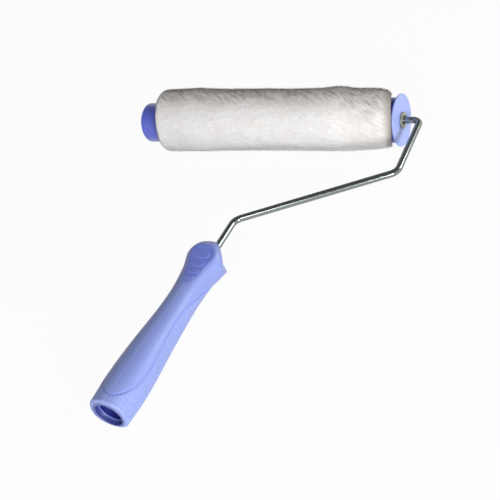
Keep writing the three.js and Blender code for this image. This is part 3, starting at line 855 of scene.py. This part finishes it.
def skinRings(angle):  # rings (distance, radius, part) from the nose's bore to the socket's
    rings, part = [], "bore"
    length, waist = mould["length"], mould["waistShare"] * mould["length"]
    bore = socket["rodBore"]

    def ring(distance, radius):
        rings.append((distance + 0 * angle, radius + 0 * angle, part))

    def roundedEdge(at, out, size, count):
        for lift in np.linspace(0, math.pi / 2, count):
            ring(at - size * (1 - math.cos(lift)), out + size * (1 - math.sin(lift)))

    start = noseStart(angle)
    for depth in socket["rodRows"]:
        ring(depth, bore)
    ring(start + socket["rodEdge"], bore)
    for share in (0.25, 0.6):
        rise = socket["faceRise"] * (1 - share) ** 2
        ring(start + rise, mixOf(bore, mould["noseRadius"], share))
    part = "skin"
    for share in np.linspace(0, 1, skinRows["head"]) ** skinRows["headCrowd"]:
        distance = mixOf(start, hookEdge(angle), share)
        ring(distance, headRadius(angle, distance))
    edge = hookEdge(angle)
    before, after = headRadius(angle, edge), scoopRadius(angle, edge + mould["lip"])
    for share in (0.3, 0.7):
        ring(edge + mould["lip"] * share, mixOf(before, after, smoothstep(share, 0, 1)))
    for share in np.linspace(0, 1, skinRows["scoop"]):
        distance = mixOf(edge + mould["lip"], waist, share)
        ring(distance, scoopRadius(angle, distance))
    last, change = length - mould["endRound"], skinRows["endFrom"]
    for start, stop, count in ((waist, change, skinRows["grip"]), (change, last, skinRows["end"])):
        for distance in np.linspace(start, stop, count)[1:]:
            ring(distance, gripRadius(angle, distance))
    for lift in np.linspace(0, math.pi / 2, 9)[1:]:
        ring(last + mould["endRound"] * math.sin(lift),
             gripRadius(angle, last) - mould["endIn"] * (1 - math.cos(lift)))
    part = "rim"
    mouth, tube, chamfer = socket["mouth"] / 2, socket["bore"] / 2, socket["chamfer"]
    inner = gripRadius(angle, last) - mould["endIn"]
    for share in (0.5, 0.95):
        ring(length, mixOf(inner, mouth + chamfer, share))
    roundedEdge(length, mouth, chamfer, 5)
    part = "mouth"
    step = length - socket["mouthDepth"]
    lip, corner = socket["lip"], socket["corner"]
    ring(length - chamfer - lip, mouth)
    ring(step + corner, mouth)
    ring(step, mouth - corner)
    part = "lip"
    roundedEdge(step, tube, lip, 4)
    part = "socket"
    ring(step - socket["lipEnd"], tube)
    for depth in socket["ribs"]:
        for shift, rise in socket["ribShape"]:
            ring(length - depth + shift, tube - socket["rib"] * rise)
    ring(length - socket["depth"], tube)
    ring(length - socket["depth"] - socket["cone"], socket["coneEnd"])
    return rings


def throughPoints(points, steps=24):  # a smooth line through points (centripetal)
    before, after = 2 * points[0] - points[1], 2 * points[-1] - points[-2]
    stretched = np.concatenate([[before], points, [after]])
    line = []
    for i in range(len(points) - 1):
        p = stretched[i:i + 4]
        runs = np.linalg.norm(np.diff(p, axis=0), axis=1) ** 0.5
        knots = np.concatenate([[0], np.cumsum(runs)])
        for t in np.linspace(knots[1], knots[2], steps, endpoint=False):
            level = list(p)
            for depth in (1, 2, 3):
                made = []
                for j in range(len(level) - 1):
                    low, high = knots[j if depth < 3 else 1], knots[j + depth if depth < 3 else 2]
                    made.append(((high - t) * level[j] + (t - low) * level[j + 1]) / (high - low))
                level = made
            line.append(level[0])
    return np.array(line + [points[-1]])


def grooveLine():  # along one side, over the top and back
    both = groove["path"] + [(distance, -turn) for distance, turn in groove["path"][-2::-1]]
    distance, turn = np.array(both, float).T
    angle = np.radians(turn)
    out = gripRadius(angle, distance)
    return throughPoints(np.stack([out * np.sin(angle), distance, out * np.cos(angle)], axis=-1))


def nearness(points, line, batch=4000):  # distance from each point to the line's points
    parts = [points[start:start + batch] for start in range(0, len(points), batch)]
    return np.concatenate([
        np.sqrt(((part[:, None] - line[None]) ** 2).sum(-1)).min(1) for part in parts])


def withPad(across, distance, up, skin):  # with the dished pad and its ovals
    level, crease, near = padLevel(distance), pad["crease"], distance < pad["to"]
    pressed = -crease * np.logaddexp(-up / crease, -level / crease)
    up = np.where(skin & near & (up > 0), pressed, up)
    # the pad's share, which also lays painted shade on it
    onPad = np.clip(1 - (level - up) / pad["blend"], 0, 1) * near * skin
    paintedOvalHighlight, edge = 0 * onPad, pad["ovalEdge"] / 2
    for place, width, length in zip(pad["places"], pad["widths"], pad["lengths"]):
        reach = np.hypot(across / (width / 2), (distance - place) / (length / 2))
        raised = smoothstep((1 - reach) * min(width, length) / 2, -edge, edge)
        up = up + pad["ovalHeight"] * raised * onPad
        # a ring round each oval's edge for a painted highlight
        paintedOvalHighlight = np.maximum(paintedOvalHighlight, 4 * raised * (1 - raised) * onPad)
    return up, onPad, paintedOvalHighlight


def withGroove(across, distance, up, out, skin):  # with the groove pressed in
    spots = np.stack([across, distance, up], axis=-1).reshape(-1, 3)
    gap = nearness(spots, grooveLine()).reshape(distance.shape)
    # the groove's share, which also lays painted shade in it
    cut = np.exp(-(gap / groove["width"]) ** 2) * smoothstep(distance, *groove["from"]) * skin
    shrink = 1 - groove["depth"] * cut / np.maximum(out, 1)
    return across * shrink, up * shrink, cut


def grainShare(angle, distance, out, skin):  # 1 below the groove and round the socket
    line = np.array(groove["path"], float)
    border = np.interp(distance, line[:, 0], line[:, 1])
    below = (fromTop(angle)[None] - border) * out * math.pi / 180
    grain = smoothstep(below, *grained["edge"]) * smoothstep(distance, *grained["from"])
    return np.where(distance > grained["all"], 1.0, grain) * skin


def inPlane(across, distance, up, skin):  # from the mould's own place to the rod's plane
    turn = math.radians(mould["turn"])
    sway = smoothstep(distance, *mould["swayFrom"]) * (1 - smoothstep(distance, *mould["swayTo"]))
    x = across * math.cos(turn) + up * math.sin(turn) - mould["inset"] + mould["sway"] * sway * skin
    z = up * math.cos(turn) - across * math.sin(turn)
    return np.stack([x, -distance - mould["nose"], z], axis=-1).reshape(-1, 3)


def handleMoulding(material):
    columns = mould["columns"]
    angle = wholeTurn(columns)
    rings = skinRings(angle)
    distance, out = (np.array([ring[i] for ring in rings]) for i in (0, 1))
    skin = np.array([[ring[2] == "skin"] for ring in rings])
    # painted shade in and round the socket, part by part
    paintedSocketShade = np.array([[socket["shade"].get(ring[2], 0.0)] for ring in rings])
    across, up = out * np.sin(angle), out * np.cos(angle)
    up, onPad, paintedOvalHighlight = withPad(across, distance, up, skin)
    across, up, cut = withGroove(across, distance, up, out, skin)
    points = inPlane(across, distance, up, skin)
    count, base = len(points), len(points) - columns
    ends = [points[:columns].mean(0), points[base:].mean(0)]
    faces = gridFaces(len(rings), columns, False)
    faces += [[count, (i + 1) % columns, i] for i in range(columns)]
    faces += [[count + 1, base + i, base + (i + 1) % columns] for i in range(columns)]
    handle = asMesh("handleMoulding", np.concatenate([points, ends]), faces, material, sharp=50)
    grain = grainShare(angle, distance, out, skin)
    # colour shares: painted shade on the pad, in the groove and round the socket, a painted
    # highlight round the ovals, and the grain
    shares = {"pad": onPad, "paintedOvalHighlight": paintedOvalHighlight, "cut": cut, "grain": grain, "paintedSocketShade": paintedSocketShade + 0 * out}
    shares = {name: np.append(values, [0.0, 0.0]) for name, values in shares.items()}
    place = np.stack([across, distance, up], axis=-1).reshape(-1, 3)
    addLayers(handle.data, **shares, mouldPlace=np.concatenate([place, np.zeros((2, 3))]))
    return settle(handle, "frame", "handle_plastic", "handle")


handleLook = {
    "low": (123, 138, 200), "high": (130, 145, 205), "roughness": 0.38, "uneven": 0.1, "shine": 0.6,
    "cloud": 30.0, "specks": (1.1, 2.0, 0.6), "speckEdge": (0.42, 0.62), "bump": (0.00022, 0.8),
    # the pad tone is painted shade on the up-facing pad; the specks are the grain's own
    "over": {"speck": (162, 176, 230, 0.4), "pad": (98, 113, 196, 0.9),
             # round the ovals a painted highlight, and in the groove painted shade
             "paintedOvalHighlight": (150, 163, 232, 0.5), "cut": (84, 100, 196, 0.5),
             # the darkest tone is painted shade in and round the socket
             "seam": (170, 182, 245, 0.35), "paintedSocketShade": (25, 32, 112, 1.0)},
    "speckHeight": 0.5, "seamHeight": 0.4}
seam = {"half": (0.12, 0.4), "padFrom": (14.0, 16.0), "padTo": (50.0, 54.0)}


def handlePlastic():
    finish = Finish("handlePlastic")
    place = finish.attribute("mouldPlace", "Vector")
    across, along, up = finish.parted(place)
    onPad = along.between(*seam["padFrom"]) * (1 - along.between(*seam["padTo"]))
    line = (1 - abs(across).between(*seam["half"])) * up.between(0.0, 1.0) * (1 - onPad)
    specks = finish.noise(*handleLook["specks"], place).between(*handleLook["speckEdge"])
    share = {name: finish.attribute(name) for name in ("pad", "paintedOvalHighlight", "cut", "paintedSocketShade")}
    share.update(speck=specks * finish.attribute("grain"), seam=line)
    cloud = finish.noise(handleLook["cloud"])
    colour = finish.clouded(cloud, handleLook)
    # each tone laid over the plain one: painted shade on the pad, in the groove and round the
    # socket, a painted highlight round the ovals, and the plastic's own specks and seam
    for name, (red, green, blue, most) in handleLook["over"].items():
        colour = finish.mixed(share[name] * most, colour, paint(red, green, blue))
    height = share["speck"] * handleLook["speckHeight"] + line * handleLook["seamHeight"]
    return finish.surface({
        "Base Color": colour, "Roughness": handleLook["roughness"] + handleLook["uneven"] * cloud,
        "Specular IOR Level": handleLook["shine"],
        "Normal": finish.bump(height, *handleLook["bump"])})


handleMoulding(handlePlastic())
print("stage: handle")

# Floor, light and finish

light = {
    "lamps": {
        "key": {"from": (0.75, -0.6, 0.2), "distance": 1.3, "size": 0.4, "power": 13.8},
        "front": {"from": (0.25, -0.8, 0.5), "distance": 1.3, "size": 0.5, "power": 5.0},
        "back": {"from": (0.73, 0.61, 0.31), "distance": 1.3, "size": 0.45, "power": 6.0}},
    "fill": 0.2, "fillColour": (1.0, 0.98, 0.96), "ceiling": 0.2, "wallTop": (0.32, 0.55),
    "floorHalf": 4.0, "floorGlow": 0.95, "floorTones": (0.9, 0.92)}


def asSeen(graph):  # 1 for what the camera sees, also in a mirror or through glass
    outputs = graph.add("ShaderNodeLightPath").socket.node.outputs
    seen, mirrored, through = (
        Flow(graph, outputs[f"Is {way} Ray"]) for way in ("Camera", "Glossy", "Transmission"))
    return seen.maths("MAXIMUM", seen.maths("MAXIMUM", seen, mirrored), through)


def paleFloor():
    finish = Finish("paleFloor")
    low, high = ((tone, tone, tone, 1) for tone in light["floorTones"])
    lit = finish.add("ShaderNodeBsdfDiffuse", {}, {
        "Color": finish.mixed(finish.noise(8.0, 2.0), low, high)})
    glow = finish.add("ShaderNodeEmission", {}, {"Color": (1, 1, 1, 1), "Strength": 1.0})
    both = finish.add("ShaderNodeMixShader", {}, {
        0: asSeen(finish) * light["floorGlow"], 1: lit, 2: glow})
    finish.add("ShaderNodeOutputMaterial", {}, {"Surface": both})
    return finish.material


def room():  # white walls with a dark ceiling to be mirrored, and a soft light on the object
    world = bpy.data.worlds.new("studio")
    bpy.context.scene.world = world
    world.use_nodes = True
    graph = Graph(world.node_tree)
    graph.tree.nodes.clear()
    rise = graph.parted(graph.add("ShaderNodeTexCoord", out="Generated"))[2]
    dark = [light["ceiling"]] * 3 + [1.0]
    walls = graph.mixed(rise.between(*light["wallTop"]), (1, 1, 1, 1), dark)
    tint = [light["fill"] * part for part in light["fillColour"]] + [1.0]
    colour = graph.mixed(asSeen(graph), tint, walls)
    back = graph.add("ShaderNodeBackground", {}, {"Color": colour, "Strength": 1.0})
    graph.add("ShaderNodeOutputWorld", {}, {"Surface": back})


def hangLamp(name, look):
    lamp = bpy.data.lights.new(name, "AREA")
    lamp.shape, lamp.size, lamp.energy = "DISK", look["size"], look["power"]
    thing = bpy.data.objects.new(name, lamp)
    bpy.context.scene.collection.objects.link(thing)
    away = Vector(look["from"]).normalized()
    thing.location = away * look["distance"]
    thing.rotation_euler = away.to_track_quat("Z", "Y").to_euler()


def studio():
    mesh = bpy.data.meshes.new("paleFloor")
    half = light["floorHalf"]
    corners = [(-half, -half, 0), (half, -half, 0), (half, half, 0), (-half, half, 0)]
    mesh.from_pydata(corners, [], [(0, 1, 2, 3)])
    mesh.materials.append(paleFloor())
    asObject("paleFloor", mesh)
    room()
    for name, lamp in light["lamps"].items():
        hangLamp(name, lamp)


studio()
bpy.context.scene.view_settings.view_transform = "Standard"
print("stage: studio set")
